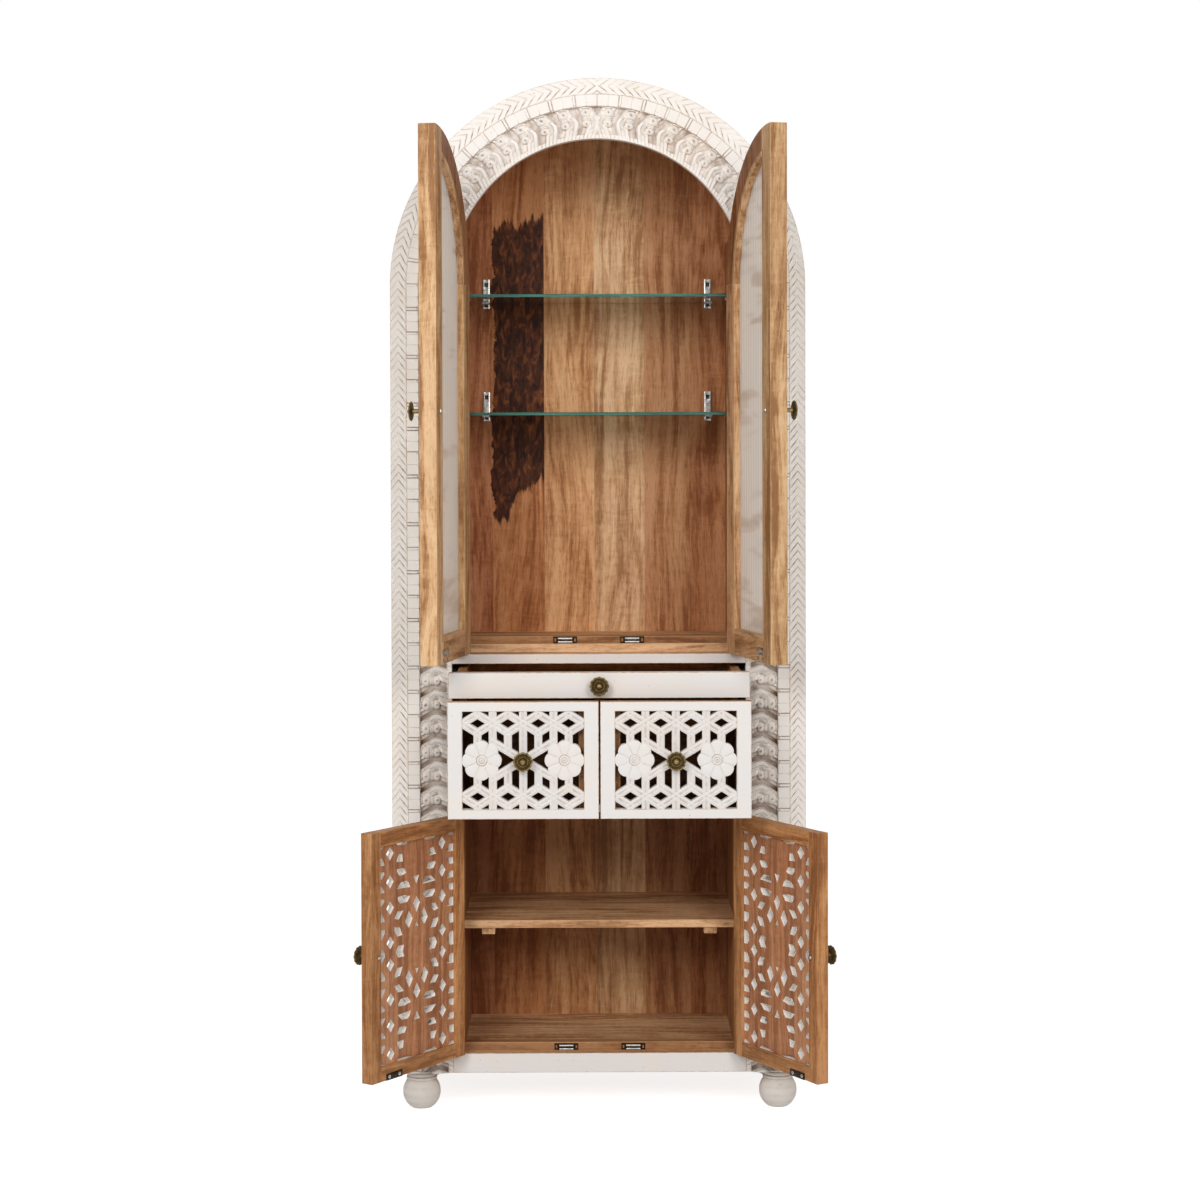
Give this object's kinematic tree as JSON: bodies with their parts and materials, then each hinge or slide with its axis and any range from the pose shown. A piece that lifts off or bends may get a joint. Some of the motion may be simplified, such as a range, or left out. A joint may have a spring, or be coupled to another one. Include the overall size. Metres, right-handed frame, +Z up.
{
  "type": "arched display cabinet",
  "caption": "Tall arched display cabinet with reeded-glass doors over fretwork drawers and a fretwork cupboard, framed by a carved whitewashed surround on ball feet.",
  "frame": {"origin": "on the floor, under the middle of the footprint with the doors and drawers open as stored", "axes": "+Z up, the front faces -Y, +X to the viewer's right"},
  "size_m": [0.8518, 0.618, 1.9],
  "materials": {
    "whitewash": "whitewashed, rubbed back",
    "inside_wood": "waxed mango wood",
    "drawer_wood": "waxed mango wood",
    "door_wood": "waxed mango wood",
    "clear_glass": "polished edge",
    "ribbed_glass": "reeded",
    "clip_chrome": "plated",
    "catch_bronze": "dark bronze",
    "hinge_steel": "dulled plate",
    "slide_black": "black",
    "knob_brass": "antiqued"
  },
  "bodies": {
    "cabinet": {"left_side_panel": "whitewash", "right_side_panel": "whitewash", "arched_roof": "whitewash", "front_rails": "whitewash", "ball_feet": "whitewash", "chevron_posts": "whitewash", "chevron_arch": "whitewash", "dentil_posts": "whitewash", "dentil_arch": "whitewash", "bead_posts": "whitewash", "bead_arch": "whitewash", "arched_ceiling": "inside_wood", "inner_walls": "inside_wood", "lining_boards": "inside_wood", "back_boards": "inside_wood", "display_floor": "inside_wood", "drawer_dividers": "inside_wood", "cupboard_ceiling": "inside_wood", "bottom_boards": "inside_wood", "cupboard_shelf": "inside_wood", "shelf_battens": "inside_wood", "glass_shelves": "clear_glass", "shelf_clips": "clip_chrome", "door_catches": "catch_bronze", "frame_hinge_leaves": "hinge_steel", "slide_rails": "slide_black"},
    "upper_left_door": {"upper_left_stiles": "door_wood", "upper_left_rails": "door_wood", "upper_left_glass": "ribbed_glass", "upper_left_beads": "door_wood", "upper_left_knob": "knob_brass", "upper_left_fittings": "hinge_steel"},
    "lower_left_door": {"lower_left_stiles": "door_wood", "lower_left_rails": "door_wood", "lower_left_fret_panel": "door_wood", "lower_left_knob": "knob_brass", "lower_left_fittings": "hinge_steel"},
    "left_drawer": {"left_drawer_fret_front": "whitewash", "left_drawer_box": "drawer_wood", "left_drawer_knob": "knob_brass", "left_drawer_runners": "slide_black"},
    "upper_right_door": {"upper_right_stiles": "door_wood", "upper_right_rails": "door_wood", "upper_right_glass": "ribbed_glass", "upper_right_beads": "door_wood", "upper_right_knob": "knob_brass", "upper_right_fittings": "hinge_steel"},
    "lower_right_door": {"lower_right_stiles": "door_wood", "lower_right_rails": "door_wood", "lower_right_fret_panel": "door_wood", "lower_right_knob": "knob_brass", "lower_right_fittings": "hinge_steel"},
    "right_drawer": {"right_drawer_fret_front": "whitewash", "right_drawer_box": "drawer_wood", "right_drawer_knob": "knob_brass", "right_drawer_runners": "slide_black"},
    "slim_drawer": {"slim_drawer_front": "whitewash", "slim_drawer_box": "drawer_wood", "slim_drawer_knob": "knob_brass", "slim_drawer_runners": "slide_black"}
  },
  "joints": [
    {"name": "upper_left_hinge", "type": "hinge", "parent": "cabinet", "child": "upper_left_door", "pos_m": [-0.2685, -0.03999, 1.185], "axis": [0, 0, 1], "range_deg": [-20, 100]},
    {"name": "upper_right_hinge", "type": "hinge", "parent": "cabinet", "child": "upper_right_door", "pos_m": [0.2685, -0.03999, 1.185], "axis": [0, 0, -1], "range_deg": [-16.5, 103.5]},
    {"name": "lower_left_hinge", "type": "hinge", "parent": "cabinet", "child": "lower_left_door", "pos_m": [-0.2685, -0.03999, 0.332], "axis": [0, 0, 1], "range_deg": [-10, 125]},
    {"name": "lower_right_hinge", "type": "hinge", "parent": "cabinet", "child": "lower_right_door", "pos_m": [0.2685, -0.03999, 0.332], "axis": [0, 0, -1], "range_deg": [-15, 120]},
    {"name": "slim_slide", "type": "slide", "parent": "cabinet", "child": "slim_drawer", "axis": [0, 1, 0], "range_m": [-0.075, 0.155]},
    {"name": "left_slide", "type": "slide", "parent": "cabinet", "child": "left_drawer", "axis": [0, 1, 0], "range_m": [-0.045, 0.195]},
    {"name": "right_slide", "type": "slide", "parent": "cabinet", "child": "right_drawer", "axis": [0, 1, 0], "range_m": [-0.045, 0.195]}
  ]
}
